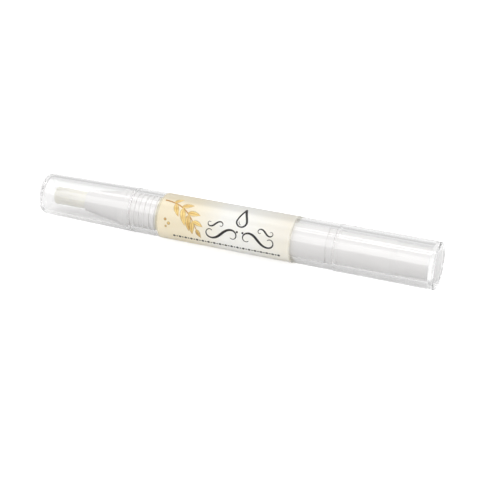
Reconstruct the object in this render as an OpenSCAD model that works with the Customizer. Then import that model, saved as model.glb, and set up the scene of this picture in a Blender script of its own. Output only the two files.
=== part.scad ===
// Twist-up nail oil pen, lying along X: cap and brush towards -X, knob towards +X.
// The origin is the middle of the pen, on its axis. All sizes are in millimetres.

/* [Barrel] */
// Outer diameter at the barrel's front, where the cap's mouth meets it
barrel_front_d = 13.8; // [13.4:0.1:15]
// Outer diameter at the barrel's rear
barrel_rear_d = 14.1; // [13.6:0.1:15]
// Diameter of the oil bore
bore_d = 10.6; // [10.4:0.1:11]
// Chamfer on the barrel's rims
barrel_rim = 0.2; // [0.1:0.05:0.4]

/* [Dosing screw] */
// Turns of the knob from full to empty
turns = 8; // [6:1:9]
// Advance of the piston in one turn
lead = 3; // [2.5:0.1:3.2]
// Radius of the circle that winds into the screw's round thread
thread_core_r = 1.75; // [1.5:0.05:1.8]
// Distance of that circle from the screw's axis, half the thread's depth
thread_offset = 0.35; // [0.25:0.05:0.4]
// Clearance between the screw's thread and the nut's
thread_gap = 0.18; // [0.15:0.01:0.25]
// Diameter of the plain stem behind the thread
stem_d = 3.8; // [3:0.1:4]
// Length of plain stem between the thread and the head
stem_len = 11; // [8:0.5:12]
// Width across the flats of the hexagonal head
head_af = 6.2; // [5.4:0.1:6.4]
// Length of the head
head_len = 2.6; // [2:0.1:4]
// Clearance round the head in its hexagonal bore
head_gap = 0.2; // [0.15:0.01:0.3]
// Diameter of the tip that snaps into the piston
tip_d = 3; // [2.6:0.1:3.2]
// Length of the tip
tip_len = 2; // [1.6:0.1:2.4]
// Diameter of the neck behind the tip
neck_d = 2.2; // [1.8:0.1:2.4]

/* [Piston] */
// Length of the piston
piston_len = 8.8; // [8.4:0.1:11]
// Diameter of the piston between its lips
piston_waist_d = 8.8; // [8.2:0.1:9]
// Length of each sealing lip
lip_len = 1.2; // [0.8:0.1:1.6]
// Running gap between the lips and the bore
lip_gap = 0.05; // [0.03:0.01:0.08]
// Thickness of the soft ring's section
ring_wire_d = 0.9; // [0.7:0.05:1]
// Length of each land beside the soft ring
land_len = 0.4; // [0.3:0.05:0.6]
// Room left in front of the piston when the pen is empty
empty_gap = 0.6; // [0.4:0.1:1]

/* [Nozzle] */
// Length of the white cone
cone_len = 12.3; // [10:0.1:16]
// Place of the cone's end between its skirt and the collar's rim, as a share of the way
cone_end_share = 0.6; // [0.3:0.05:0.9]
// Wall of the cone's lip round the tuft
cone_lip = 0.4; // [0.3:0.05:0.6]
// Rounding of the cone's lip
cone_tip_round = 0.15; // [0.05:0.05:0.25]
// Length of the collar in front of the barrel
collar_len = 4.2; // [3.4:0.1:6]
// Height of the grip rings on the collar
grip_h = 0.1; // [0.05:0.01:0.15]
// Width of a grip ring
grip_w = 0.8; // [0.5:0.1:1]
// Length of the plug inside the barrel
plug_len = 8.5; // [8.2:0.1:12]
// Number of sealing ribs on the plug
ribs = 4; // [2:1:4]
// Spacing of the sealing ribs
rib_pitch = 1.75; // [1.4:0.05:1.8]
// Width of a sealing rib
rib_w = 0.7; // [0.5:0.05:0.9]
// Diameter of the plug between its ribs
plug_core_d = 9.8; // [9.2:0.1:10]
// Length of the plug's plain land behind the barrel's rim
plug_land = 1.4; // [0.8:0.1:1.6]
// Diameter of the oil passage through the plug
passage_d = 3; // [2:0.1:4]
// Diameter of the cone's skirt, which sits in the plug
skirt_d = 8.4; // [8:0.1:9]
// Thickness of the plug's floor behind the skirt, in front of the barrel's rim
floor_t = 0.5; // [0.4:0.1:1]

/* [Brush] */
// Diameter of the tuft where it is held
tuft_d = 5.4; // [4.6:0.1:5.6]
// Diameter of the tuft at its tip
tuft_tip_d = 5.9; // [4.6:0.1:6.4]
// Length of the tuft that stands out of the cone
tuft_free = 11.4; // [8:0.1:16]
// Length of the tuft inside the cone's mouth
tuft_held = 3.6; // [2.6:0.1:4.4]
// Gap round the tuft in the cone's mouth
tuft_gap = 0.2; // [0.15:0.05:0.3]
// Thickness of the backing disc
backing_t = 0.5; // [0.4:0.1:1]
// Rings of filaments, counted from the axis
tuft_rings = 12; // [8:1:12]
// Rings left out round the feed tube
core_rings = 3; // [2:1:4]
// Width of a filament at its foot, as a share of its place in the disc
foot_share = 0.62; // [0.5:0.02:0.7]
// Width of a filament at its tip, as a share of its foot
tip_share = 0.6; // [0.4:0.05:0.9]
// How far the shortest filaments stop short of the longest
tip_uneven = 0.9; // [0.2:0.1:1.2]
// Wall of the ferrule round the backing disc
ferrule_wall = 0.58; // [0.5:0.02:0.6]
// Length of the bore that grips the feed tube
tube_grip = 2.5; // [2:0.1:4]
// Diameter of the ferrule's wide channel
channel_d = 4.4; // [3:0.1:4.6]
// Outer diameter of the feed tube
tube_d = 1.2; // [1:0.05:1.3]
// Wall of the feed tube
tube_wall = 0.2; // [0.15:0.01:0.3]
// How far the feed tube stops short of the tuft's tip
tube_short = 2.2; // [1.5:0.1:4]

/* [Cap] */
// Outer diameter of the cap at its closed end
cap_end_d = 12.8; // [12.4:0.1:13.4]
// Wall of the cap beside the brush
cap_wall = 1.1; // [0.8:0.05:1.2]
// Wall of the cap at its mouth
cap_mouth_wall = 1.15; // [0.9:0.05:1.2]
// Thickness of the cap's closed end
cap_end_wall = 1.2; // [0.8:0.1:2]
// Radius of the cap's rounded corner
cap_corner = 1.2; // [0.6:0.1:1.6]
// Radius of the corner inside the cap
cap_corner_in = 0.8; // [0.4:0.1:1.2]
// Room between the tuft's tip and the cap's closed end
tip_room = 2.4; // [2:0.1:5]
// Radial clearance of the cap on the grip rings
cap_fit = 0.05; // [0.03:0.01:0.08]
// Straight stretch of the cap's bore behind the collar
cap_lead_in = 1; // [0.5:0.1:2]
// Seam between the closed cap and the barrel
cap_seam = 0.1; // [0.05:0.01:0.2]
// Chamfer on the cap's mouth
cap_rim = 0.2; // [0.1:0.05:0.3]

/* [Click mechanism] */
// Number of clicks in one turn
clicks = 12; // [8:1:16]
// Height of a ratchet tooth
tooth_h = 0.7; // [0.4:0.05:0.9]
// Radial width of the ratchet's teeth
tooth_w = 0.65; // [0.45:0.05:0.7]
// Step between the click ring's rim and its teeth
tooth_inset = 0.1; // [0.05:0.01:0.12]
// Gap between the two rings of teeth at the top of a click
click_gap = 0.1; // [0.08:0.01:0.2]
// Length of the nut's body
nut_len = 10.5; // [8:0.1:14]
// Length of the nut's thread
nut_thread_len = 6; // [4:0.1:7]
// Room between the piston and the nut
nut_gap = 1; // [0.5:0.1:3]
// Length of the click ring behind its teeth
click_ring_len = 2.4; // [1.6:0.1:4]
// Wall of the bearing collar round the click mechanism
chamber_wall = 0.53; // [0.5:0.01:0.56]
// Gap round the click ring
click_ring_gap = 0.25; // [0.2:0.01:0.3]
// Wire diameter of the click spring
spring_wire = 0.5; // [0.4:0.02:0.5]
// Turns of the click spring
spring_turns = 4; // [3:1:5]
// Pitch of the click spring
spring_pitch = 0.95; // [0.93:0.01:1.3]
// Gap between the click spring and its neighbours
spring_gap = 0.05; // [0.03:0.01:0.1]

/* [Knob] */
// Outer diameter of the knob
knob_d = 14.3; // [14:0.1:16]
// Diameter of the knob's bore
knob_bore_d = 10.4; // [10.3:0.1:10.8]
// Thickness of the knob's end wall
knob_end_wall = 2; // [1.2:0.1:4]
// Radius of the knob's end corner
knob_corner = 0.8; // [0.4:0.1:1.2]
// Chamfer on the knob's mouth
knob_rim = 0.25; // [0.1:0.05:0.4]
// Seam between the barrel and the knob
knob_seam = 0.15; // [0.1:0.01:0.3]
// Diameter of the sleeve's front stretch
sleeve_front_d = 10; // [9.6:0.1:10]
// Diameter of the sleeve's rear stretch
sleeve_rear_d = 9.4; // [9.2:0.1:9.8]
// Length of the sleeve's front locating ring
sleeve_ring_len = 1; // [0.6:0.1:2]
// Length of the sleeve's rear stretch, behind its flange
sleeve_rear_len = 11.5; // [8:0.1:14]
// Length of the sleeve's flange
flange_len = 1.2; // [0.8:0.1:2]
// Width across the flats of the sleeve's hexagonal hub
hub_af = 6.2; // [5.8:0.1:6.2]
// Clearance of the click ring on the hub
hub_gap = 0.05; // [0.03:0.01:0.08]
// Wall of the sleeve's journal
journal_wall = 1.2; // [1.1:0.05:1.3]
// Running clearance of the journal in the bearing collar
journal_gap = 0.05; // [0.02:0.01:0.08]
// Length of the journal's bearing
bearing_len = 3.05; // [2.6:0.05:5]
// Diameter of the shoulder that the spring pushes on
shoulder_d = 8.8; // [8.4:0.1:9]
// Length of that shoulder
shoulder_len = 0.8; // [0.6:0.1:1.2]
// End play between the shoulder and the bearing collar
end_play = 0.15; // [0.1:0.01:0.3]
// Room round the screw in the sleeve's hub
screw_room = 0.3; // [0.2:0.05:0.4]
// Thickness of the web between the journal and the sleeve's hexagonal bore
sleeve_web = 0.6; // [0.4:0.1:1]
// Thickness of the friction ring's section
friction_wire_d = 0.6; // [0.5:0.02:0.64]
// Gap between the screw's head and the ends of its travel
head_room = 0.2; // [0.1:0.05:1]
// Thickness of the plug that closes the sleeve
sleeve_plug_t = 0.9; // [0.6:0.1:1.5]
// Width of the groove round the bearing collar
collar_groove_w = 0.5; // [0.3:0.05:0.8]
// Depth of that groove
collar_groove_h = 0.25; // [0.1:0.05:0.4]

/* [Label] */
// Length of the label along the barrel
label_len = 43; // [34:0.5:46]
// Distance of the label from the barrel's front
label_start = 9.7; // [9:0.1:13]
// Thickness of the label
label_t = 0.08; // [0.05:0.01:0.15]
// Layer of glue under the label
label_glue = 0.01; // [0.01:0.01:0.03]

/* [Hidden] */
// Gap between pressed pieces of one body
press_gap = 0.02;
// Gap round the oil
oil_gap = 0.05;
// Overrun of the cuts
over = 1;
// Clearance round the snap tip in the piston
tip_gap = 0.25;
// Sides of the flat-faced rounds, which turn against a thread or against teeth
flat_sides = 48;
// Steps of the thread in one turn, and sides of its section
thread_steps = 12;
thread_sides = 12;
// Rings of the spring's wire in one turn, and sides of its section
wire_rings = 8;
wire_sides = 6;
round_fn = 96;
arc_steps = 6;

// Sizes that follow
stroke = turns * lead;
bore_r = bore_d / 2;
press_r = bore_r - press_gap;
tuft_r = tuft_d / 2;
core_r = tube_d / 2 + press_gap;
ferrule_r = tuft_r + press_gap + ferrule_wall;
cone_tip_r = tuft_r + tuft_gap + cone_lip;
cap_bore_r = barrel_front_d / 2 - cap_mouth_wall;
collar_r = cap_bore_r - cap_fit - grip_h;
skirt_r = skirt_d / 2;
cone_end_r = skirt_r + (collar_r - skirt_r) * cone_end_share;
tip_socket_r = tip_d / 2 + tip_gap;
neck_socket_r = (tip_d + neck_d) / 4;
ring_seat_r = bore_r - lip_gap - ring_wire_d;
chamber_r = press_r - chamber_wall;
click_ring_r = chamber_r - click_ring_gap;
tooth_out_r = click_ring_r - tooth_inset;
tooth_in_r = tooth_out_r - tooth_w;
hub_corner_r = hub_af / 2 / cos(30);
spring_r = hub_corner_r + spring_gap + (spring_wire + chamber_r - hub_corner_r) / 3;
spring_len = spring_turns * spring_pitch + spring_wire;
hub_bore_r = max(stem_d / 2, thread_core_r + thread_offset) + screw_room;
journal_r = hub_bore_r + journal_wall;
friction_r = journal_r - friction_wire_d / 2;
knob_press_r = knob_bore_d / 2 - press_gap;
hex_bore_af = head_af + 2 * head_gap;

// Stations along the pen, from the barrel's front to its rear and then outwards
teeth_room = 2 * tooth_h + click_gap;
click_room = teeth_room + click_ring_len + spring_len + 2 * spring_gap + shoulder_len + end_play;
barrel_len = plug_len + empty_gap + stroke + piston_len + nut_gap + nut_len + click_room + bearing_len;
cap_len = cap_end_wall + tip_room + tuft_free + cone_len + collar_len - cap_seam;
core_len = sleeve_web + head_room + stroke + head_len + head_room + sleeve_plug_t;
knob_len = core_len + knob_end_wall;
pen_len = cap_len + cap_seam + barrel_len + knob_seam + knob_len;

cap_x = -pen_len / 2;
cap_mouth_x = cap_x + cap_len;
barrel_x = cap_mouth_x + cap_seam;
barrel_end_x = barrel_x + barrel_len;
collar_x = barrel_x - collar_len;
cone_x = collar_x - cone_len;
tuft_tip_x = cone_x - tuft_free;
ferrule_x = cone_x + tuft_held;
floor_x = barrel_x - floor_t;
plug_end_x = barrel_x + plug_len;
piston_x = plug_end_x + empty_gap + stroke;
piston_end_x = piston_x + piston_len;
nut_x = piston_end_x + nut_gap;
nut_end_x = nut_x + nut_len;
click_ring_x = nut_end_x + teeth_room;
spring_x = click_ring_x + click_ring_len + spring_gap;
shoulder_x = spring_x + spring_len + spring_gap;
bearing_x = shoulder_x + shoulder_len + end_play;
knob_x = barrel_end_x + knob_seam;
sleeve_end_x = knob_x + core_len;
knob_end_x = sleeve_end_x + knob_end_wall;
flange_x = sleeve_end_x - sleeve_rear_len - flange_len;
friction_x = (bearing_x + barrel_end_x) / 2;
sleeve_plug_x = sleeve_end_x - sleeve_plug_t;
head_end_x = sleeve_plug_x - head_room;
head_x = head_end_x - head_len;
thread_end_x = head_x - stem_len;
tip_end_x = piston_end_x - lip_len - tip_gap - tip_len;
label_x = barrel_x + label_start;

echo(pen_len = pen_len, cap_len = cap_len, barrel_len = barrel_len, knob_len = knob_len, stroke = stroke);

// Points of a quarter round from one angle to the other, as [radius, station]
function arc(centre, r, from, to) =
    [for (i = [0:arc_steps]) let (a = from + (to - from) * i / arc_steps) centre + r * [cos(a), sin(a)]];

// Outer radius of the tapered barrel at a station
function barrel_r_at(x) =
    barrel_front_d / 2 + (barrel_rear_d - barrel_front_d) / 2 * (x - barrel_x) / barrel_len;

// A regular polygon as a list of points, so that its prism keeps flat sides
function regular(r, sides) = [for (i = [0:sides - 1]) r * [cos(360 * i / sides), sin(360 * i / sides)]];

// Lays a shape that was made along Z along the pen, starting at a station
module at(x) {
    rotate([0, 90, 0]) translate([0, 0, x]) children();
}

// A turned solid, whose outline is a list of [radius, station]
module turned(outline) {
    rotate([0, 90, 0]) rotate_extrude($fn = round_fn) polygon(outline);
}

// A plain round from one station to another
module round_bar(r, from, to) {
    at(from) cylinder(r = r, h = to - from, $fn = round_fn);
}

// A cone from one radius and station to another
module funnel(r1, r2, from, to) {
    at(from) cylinder(r1 = r1, r2 = r2, h = to - from, $fn = round_fn);
}

// A flat-sided bar from one station to another
module flat_bar(r, from, to, sides) {
    at(from) linear_extrude(to - from) polygon(regular(r, sides));
}

// A hexagonal bar, by its width across the flats
module hex_bar(af, from, to) {
    flat_bar(af / 2 / cos(30), from, to, 6);
}

// A soft ring round the axis
module soft_ring(r, wire_r, x) {
    at(x) rotate_extrude($fn = round_fn) translate([r, 0]) circle(wire_r, $fn = round_fn / 2);
}

// The screw's round thread: an off-centre circle wound right-handed along the axis
module thread(r, from, to) {
    wound = (to - from) / lead;
    at(from) rotate([0, 0, 360 * from / lead]) linear_extrude(
        to - from, twist = -360 * wound, slices = ceil(wound * thread_steps)
    ) translate([thread_offset, 0]) polygon(regular(r, thread_sides));
}

// A ring of ratchet teeth on Z = 0, steep on one side, with a foot below it that sinks into its carrier
module teeth(foot) {
    radii = [tooth_in_r, tooth_out_r];
    heights = [-foot, 0, tooth_h];
    points = [for (i = [0:clicks - 1], z = heights, r = radii)
        [r * cos(360 * i / clicks), -r * sin(360 * i / clicks), z]];
    faces = [for (i = [0:clicks - 1]) let (a = 6 * i, b = 6 * ((i + 1) % clicks)) each [
        [a, b, b + 1, a + 1],
        [a + 1, b + 1, b + 3, b + 5, a + 3],
        [a, a + 2, b + 4, b + 2, b],
        [a + 2, b + 5, b + 4],
        [a + 2, a + 3, b + 5],
        [a + 2, a + 4, a + 5, a + 3]]];
    polyhedron(points, faces);
}

module cap_shell() {
    end_r = cap_end_d / 2;
    mouth_r = barrel_front_d / 2;
    slope = (mouth_r - end_r) / cap_len;
    bore_end_x = cap_x + cap_end_wall;
    grip_end_x = collar_x - cap_lead_in;
    color("WhiteSmoke", 0.35) turned(concat(
        [[0, cap_x]],
        arc([end_r - cap_corner, cap_x + cap_corner], cap_corner, -90, 0),
        [[mouth_r - slope * cap_rim, cap_mouth_x - cap_rim]],
        [[mouth_r - cap_rim, cap_mouth_x], [cap_bore_r + cap_rim, cap_mouth_x]],
        [[cap_bore_r, cap_mouth_x - cap_rim], [cap_bore_r, grip_end_x]],
        arc([end_r - cap_wall - cap_corner_in, bore_end_x + cap_corner_in], cap_corner_in, 0, -90),
        [[0, bore_end_x]]
    ));
}

// Radius of a ring of places in the tuft's backing disc
function place_r(ring) =
    core_r + (tuft_r - core_r) * (ring - core_rings) / (tuft_rings - core_rings);

// A corner of the disc's net of triangles: ring k has 6 k corners
function corner(ring, i) = let (a = 360 * i / (6 * ring)) place_r(ring) * [cos(a), sin(a)];

// How many corners the rings inside this one hold
function corners_before(ring) = 3 * ring * (ring - 1) - 3 * core_rings * (core_rings - 1);

// Number of the inner corner that a triangle with its foot on the ring's side i points to
function inner_of(ring, i) = (i - floor(i / ring) + (6 * (ring - 1))) % (6 * (ring - 1));

// The tuft: three-sided filaments that grow out of a net of triangles on the backing disc
module brush_bristles() {
    n = tuft_rings;
    m = core_rings;
    front = ferrule_x;
    back = ferrule_x + backing_t;
    corners = [for (k = [m:n], i = [0:6 * k - 1]) corner(k, i)];
    count = len(corners);
    feet = [for (k = [m + 1:n], i = [0:6 * k - 1])
        [corners_before(k) + i, corners_before(k) + (i + 1) % (6 * k), corners_before(k - 1) + inner_of(k, i)]];
    fills = [for (k = [m + 1:n], i = [0:6 * k - 1]) if (i % k != 0)
        [corners_before(k) + i,
         corners_before(k - 1) + inner_of(k, i),
         corners_before(k - 1) + inner_of(k, i - 1)]];
    spread = tuft_tip_d / tuft_d;
    strand_points = [for (j = [0:len(feet) - 1])
        let (
            f = [for (c = feet[j]) corners[c]],
            mid = (f[0] + f[1] + f[2]) / 3,
            rim = norm(mid) / tuft_r,
            tip = tuft_tip_x + tip_uneven * (rim * rim + (j * 7 % 5) / 5) / 2
        )
        each concat(
            [for (p = f) let (q = mid + (p - mid) * foot_share) [q[0], q[1], front]],
            [for (p = f) let (q = mid * spread + (p - mid) * foot_share * tip_share) [q[0], q[1], tip]]
        )];
    points = concat(
        [for (c = corners) [c[0], c[1], front]],
        [for (c = corners) [c[0], c[1], back]],
        strand_points
    );
    strand_faces = [for (j = [0:len(feet) - 1])
        let (s = 2 * count + 6 * j, t = feet[j])
        each concat(
            [[s + 3, s + 4, s + 5]],
            [for (e = [0:2]) let (g = (e + 1) % 3) each [
                [t[e], t[g], s + g],
                [t[e], s + g, s + e],
                [s + e, s + g, s + 3 + g],
                [s + e, s + 3 + g, s + 3 + e]]]
        )];
    outer = corners_before(n);
    rims = concat(
        [for (i = [0:6 * n - 1]) let (a = outer + i, b = outer + (i + 1) % (6 * n)) each [
            [b, a, a + count], [b, a + count, b + count]]],
        [for (i = [0:6 * m - 1]) let (a = i, b = (i + 1) % (6 * m)) each [
            [a, b, b + count], [a, b + count, a + count]]]
    );
    backs = [for (t = concat(feet, fills)) [t[2] + count, t[1] + count, t[0] + count]];
    echo(filaments = len(feet));
    color("Ivory") rotate([0, 90, 0]) polyhedron(points, concat(strand_faces, fills, rims, backs));
}

module brush_collar() {
    hold_x = ferrule_x + backing_t;
    color("White") difference() {
        round_bar(ferrule_r, ferrule_x, floor_x);
        round_bar(tuft_r + press_gap, ferrule_x - over, hold_x);
        round_bar(core_r, ferrule_x, hold_x + tube_grip + over);
        round_bar(channel_d / 2, hold_x + tube_grip, floor_x + over);
    }
}

module feed_tube() {
    color("WhiteSmoke") difference() {
        round_bar(tube_d / 2, tuft_tip_x + tube_short, ferrule_x + backing_t + tube_grip);
        round_bar(tube_d / 2 - tube_wall, tuft_tip_x, floor_x);
    }
}

module nozzle_cone() {
    mouth_r = tuft_r + tuft_gap;
    color("White") difference() {
        turned([
            [0, cone_x], [cone_tip_r - cone_tip_round, cone_x], [cone_tip_r, cone_x + cone_tip_round],
            [cone_end_r, collar_x], [skirt_r, collar_x],
            [skirt_r, floor_x], [0, floor_x]
        ]);
        round_bar(mouth_r, cone_x - over, ferrule_x + over);
        round_bar(ferrule_r + press_gap, ferrule_x, floor_x + over);
    }
}

module nozzle_seat() {
    first_rib = plug_len - (ribs - 1) * rib_pitch - rib_w;
    grip_step = (collar_len - 2 * grip_w) / 3;
    color("White") difference() {
        union() {
            round_bar(collar_r, collar_x, barrel_x);
            for (i = [0:1]) {
                start = collar_x + grip_step + i * (grip_step + grip_w);
                round_bar(collar_r + grip_h, start, start + grip_w);
            }
            round_bar(plug_core_d / 2, barrel_x, plug_end_x);
            round_bar(press_r, barrel_x, barrel_x + plug_land);
            for (i = [0:ribs - 1]) {
                start = barrel_x + first_rib - rib_w / 2 + i * rib_pitch;
                round_bar(press_r, start, start + rib_w);
            }
        }
        round_bar(skirt_r + press_gap, collar_x - over, floor_x);
        round_bar(passage_d / 2, floor_x - over, plug_end_x + over);
        funnel(passage_d / 2, plug_core_d / 2 - rib_w, plug_end_x - plug_land, plug_end_x);
    }
}

module barrel() {
    front_r = barrel_front_d / 2;
    rear_r = barrel_rear_d / 2;
    color("WhiteSmoke", 0.35) turned([
        [bore_r, barrel_x],
        [front_r - barrel_rim, barrel_x],
        [barrel_r_at(barrel_x + barrel_rim), barrel_x + barrel_rim],
        [barrel_r_at(barrel_end_x - barrel_rim), barrel_end_x - barrel_rim],
        [rear_r - barrel_rim, barrel_end_x],
        [bore_r, barrel_end_x]
    ]);
}

module label() {
    label_end_x = label_x + label_len;
    inner = label_glue;
    outer = label_glue + label_t;
    color("Cornsilk") turned([
        [barrel_r_at(label_x) + inner, label_x], [barrel_r_at(label_x) + outer, label_x],
        [barrel_r_at(label_end_x) + outer, label_end_x], [barrel_r_at(label_end_x) + inner, label_end_x]
    ]);
}

module oil_charge() {
    color("LightYellow", 0.4) round_bar(bore_r - oil_gap, plug_end_x + oil_gap, piston_x - oil_gap);
}

module piston() {
    lip_r = bore_r - lip_gap;
    waist_r = piston_waist_d / 2;
    middle = piston_x + (piston_len - lip_len) / 2;
    land_r = (lip_r + ring_seat_r) / 2;
    groove = ring_wire_d / 2 + press_gap;
    socket_x = tip_end_x - tip_gap;
    color("White") difference() {
        union() {
            round_bar(waist_r, piston_x + lip_len, piston_end_x);
            funnel(waist_r - lip_len, lip_r, piston_x, piston_x + lip_len);
            round_bar(lip_r, piston_x + lip_len, piston_x + 2 * lip_len);
            round_bar(lip_r, piston_end_x - 2 * lip_len, piston_end_x - lip_len);
            round_bar(land_r, middle - groove - land_len, middle + groove + land_len);
        }
        difference() {
            round_bar(lip_r, middle - groove, middle + groove);
            round_bar(ring_seat_r - press_gap, middle - groove - over, middle + groove + over);
        }
        round_bar(tip_socket_r, socket_x, socket_x + tip_len + 2 * tip_gap);
        round_bar(neck_socket_r, socket_x, piston_end_x + over);
    }
}

module piston_ring() {
    middle = piston_x + (piston_len - lip_len) / 2;
    color("Silver") soft_ring(ring_seat_r + ring_wire_d / 2, ring_wire_d / 2, middle);
}

module drive_screw() {
    neck_x = tip_end_x + tip_len;
    thread_x = piston_end_x + nut_gap / 2;
    color("Gainsboro") union() {
        flat_bar(tip_d / 2, tip_end_x, neck_x, thread_sides);
        flat_bar(neck_d / 2, tip_end_x, thread_x + lead / 2, thread_sides);
        thread(thread_core_r, thread_x, thread_end_x);
        flat_bar(stem_d / 2, thread_end_x - lead / 2, head_end_x, 2 * thread_sides);
        hex_bar(head_af, head_x, head_end_x);
    }
}

module screw_nut() {
    color("White") union() {
        difference() {
            flat_bar(press_r, nut_x, nut_end_x, flat_sides);
            thread(thread_core_r + thread_gap, nut_x - lead / 2, nut_x + nut_thread_len);
            flat_bar(hub_bore_r, nut_x + nut_thread_len - lead / 2, nut_end_x + over, 2 * thread_sides);
        }
        at(nut_end_x) teeth(tooth_h);
    }
}

module click_ring() {
    color("Gainsboro") difference() {
        union() {
            flat_bar(click_ring_r, click_ring_x, click_ring_x + click_ring_len, flat_sides);
            at(click_ring_x) rotate([180, 0, 0]) teeth(tooth_h);
        }
        hex_bar(hub_af + 2 * hub_gap, click_ring_x - over, click_ring_x + click_ring_len + over);
    }
}

// The spring: one unbroken wire, swept along a helix with a flat cap at each end
module click_spring() {
    steps = spring_turns * wire_rings;
    rise = spring_pitch / 360;
    centres = [for (i = [0:steps]) let (a = 360 * i / wire_rings)
        [spring_r * cos(a), spring_r * sin(a), spring_wire / 2 + rise * a]];
    points = [for (i = [0:steps], j = [0:wire_sides - 1])
        let (a = 360 * i / wire_rings, b = 360 * (j + 0.5) / wire_sides, w = spring_wire / 2)
        centres[i] + w * [cos(b) * cos(a), cos(b) * sin(a), sin(b)]];
    sides = [for (i = [0:steps - 1], j = [0:wire_sides - 1])
        let (a = i * wire_sides, b = a + wire_sides, k = (j + 1) % wire_sides) each [
            [a + j, a + k, b + k], [a + j, b + k, b + j]]];
    last = steps * wire_sides;
    caps = [for (j = [1:wire_sides - 2]) each [[0, j + 1, j], [last, last + j, last + j + 1]]];
    gap = min([for (i = [0:steps - wire_rings], p = [0:wire_sides - 1], q = [0:wire_sides - 1])
        norm(points[i * wire_sides + p] - points[(i + wire_rings) * wire_sides + q])]);
    echo(spring_least_gap = gap);
    color("LightSteelBlue") at(spring_x) polyhedron(points, concat(sides, caps));
}

module bearing_collar() {
    color("White") difference() {
        round_bar(press_r, nut_end_x, barrel_end_x);
        round_bar(chamber_r, nut_end_x - over, bearing_x);
        round_bar(journal_r + journal_gap, bearing_x - over, barrel_end_x + over);
        difference() {
            round_bar(press_r + over, bearing_x + collar_groove_w, bearing_x + 2 * collar_groove_w);
            round_bar(press_r - collar_groove_h, bearing_x, barrel_end_x);
        }
    }
}

module friction_ring() {
    color("DimGray") soft_ring(friction_r, friction_wire_d / 2, friction_x);
}

module drive_sleeve() {
    groove = friction_wire_d / 2 + press_gap;
    color("White") difference() {
        union() {
            hex_bar(hub_af, click_ring_x - tooth_h / 2, shoulder_x + shoulder_len);
            round_bar(shoulder_d / 2, shoulder_x, shoulder_x + shoulder_len);
            round_bar(journal_r, shoulder_x, knob_x + sleeve_ring_len);
            round_bar(knob_press_r, knob_x, knob_x + sleeve_ring_len);
            round_bar(sleeve_front_d / 2, knob_x, flange_x + flange_len);
            round_bar(knob_press_r, flange_x, flange_x + flange_len);
            round_bar(sleeve_rear_d / 2, flange_x, sleeve_end_x);
        }
        difference() {
            round_bar(journal_r + over, friction_x - groove, friction_x + groove);
            round_bar(journal_r - friction_wire_d - press_gap, bearing_x, barrel_end_x);
        }
        round_bar(hub_bore_r, click_ring_x - over, knob_x + over);
        hex_bar(hex_bore_af, knob_x + sleeve_web, sleeve_end_x + over);
    }
}

module sleeve_plug() {
    color("White") hex_bar(hex_bore_af - 2 * press_gap, sleeve_plug_x, sleeve_end_x);
}

module knob_shell() {
    outer = knob_d / 2;
    bore = knob_bore_d / 2;
    color("WhiteSmoke", 0.35) turned(concat(
        [[bore, knob_x], [outer - knob_rim, knob_x], [outer, knob_x + knob_rim]],
        arc([outer - knob_corner, knob_end_x - knob_corner], knob_corner, 0, 90),
        [[0, knob_end_x], [0, sleeve_end_x], [bore, sleeve_end_x]]
    ));
}

cap_shell();
brush_bristles();
brush_collar();
feed_tube();
nozzle_cone();
nozzle_seat();
barrel();
label();
oil_charge();
piston();
piston_ring();
drive_screw();
screw_nut();
click_ring();
click_spring();
bearing_collar();
friction_ring();
drive_sleeve();
sleeve_plug();
knob_shell();
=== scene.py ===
"""A twist-up nail oil pen in clear plastic: cap, brush, printed barrel, dosing screw and clicking knob.

Each piece is made by its own operator, around the solids that fix its size and place. Stations are
measured along the pen (X, the knob's end towards +X) and radii from its axis, in millimetres here.
"""

import math
import random

import bmesh
import bpy
from bpy.props import FloatProperty, FloatVectorProperty, IntProperty, PointerProperty
from mathutils import Matrix, Vector


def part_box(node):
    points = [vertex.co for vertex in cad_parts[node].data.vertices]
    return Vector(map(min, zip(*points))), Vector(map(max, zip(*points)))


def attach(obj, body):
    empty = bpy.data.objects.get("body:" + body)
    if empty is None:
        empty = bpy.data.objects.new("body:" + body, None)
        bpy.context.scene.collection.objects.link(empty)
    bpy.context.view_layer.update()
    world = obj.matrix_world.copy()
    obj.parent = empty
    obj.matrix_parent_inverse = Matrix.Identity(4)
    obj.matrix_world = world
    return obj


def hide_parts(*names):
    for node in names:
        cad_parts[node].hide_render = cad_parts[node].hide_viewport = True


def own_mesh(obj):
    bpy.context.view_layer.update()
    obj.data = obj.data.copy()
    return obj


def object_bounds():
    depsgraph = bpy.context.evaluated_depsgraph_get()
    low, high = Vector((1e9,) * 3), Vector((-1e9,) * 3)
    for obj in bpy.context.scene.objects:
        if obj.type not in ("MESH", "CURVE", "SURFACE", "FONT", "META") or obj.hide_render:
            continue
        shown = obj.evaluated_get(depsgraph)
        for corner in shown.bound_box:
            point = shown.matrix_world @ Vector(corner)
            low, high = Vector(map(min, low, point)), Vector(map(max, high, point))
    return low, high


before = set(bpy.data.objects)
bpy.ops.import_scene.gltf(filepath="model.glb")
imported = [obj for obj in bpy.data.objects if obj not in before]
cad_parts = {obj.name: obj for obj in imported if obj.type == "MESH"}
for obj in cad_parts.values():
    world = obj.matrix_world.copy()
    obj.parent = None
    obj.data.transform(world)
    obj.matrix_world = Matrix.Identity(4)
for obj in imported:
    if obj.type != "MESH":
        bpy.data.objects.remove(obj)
cad_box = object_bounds()

bl_info = {
    "name": "Nail Oil Pen",
    "version": (1, 0, 0),
    "blender": (4, 5, 0),
    "location": "3D View > Sidebar > Oil Pen",
    "description": "Builds a clear twist-up nail oil pen and the stage that it lies on",
    "category": "Object",
}

MM = 0.001
TURN = 2 * math.pi
PIXELS = 480    # side of the square picture
SENSOR = 36.0   # width of the camera's sensor, in millimetres


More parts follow.
